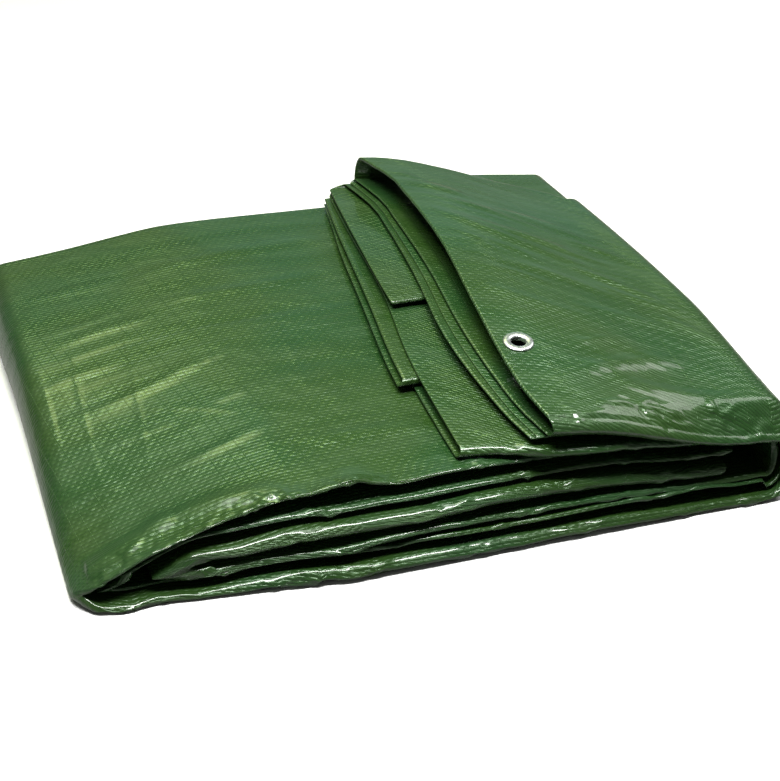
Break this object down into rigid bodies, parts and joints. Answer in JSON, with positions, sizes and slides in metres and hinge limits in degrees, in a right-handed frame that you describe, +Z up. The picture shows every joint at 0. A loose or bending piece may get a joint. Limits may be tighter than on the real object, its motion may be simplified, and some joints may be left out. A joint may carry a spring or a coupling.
{
  "type": "folded tarpaulin",
  "caption": "Woven coated tarpaulin folded into a soft rectangular pack, its last fold lying on top as a flap with an eyelet in the hem.",
  "frame": {"origin": "on the floor, under the middle of the pack's outline", "axes": "+X to the right along the long front edge, +Y to the back, +Z up"},
  "size_m": [0.5666, 0.4904, 0.1314],
  "materials": {
    "cloth": "coated woven film, semi-gloss",
    "hem": "coated woven film, semi-gloss",
    "eyelet": "satin",
    "washer": "satin"
  },
  "bodies": {
    "root": {"tarp_sheet": "cloth", "hem_strip": "hem", "eyelet_ring": "eyelet", "eyelet_washer": "washer"}
  },
  "joints": []
}
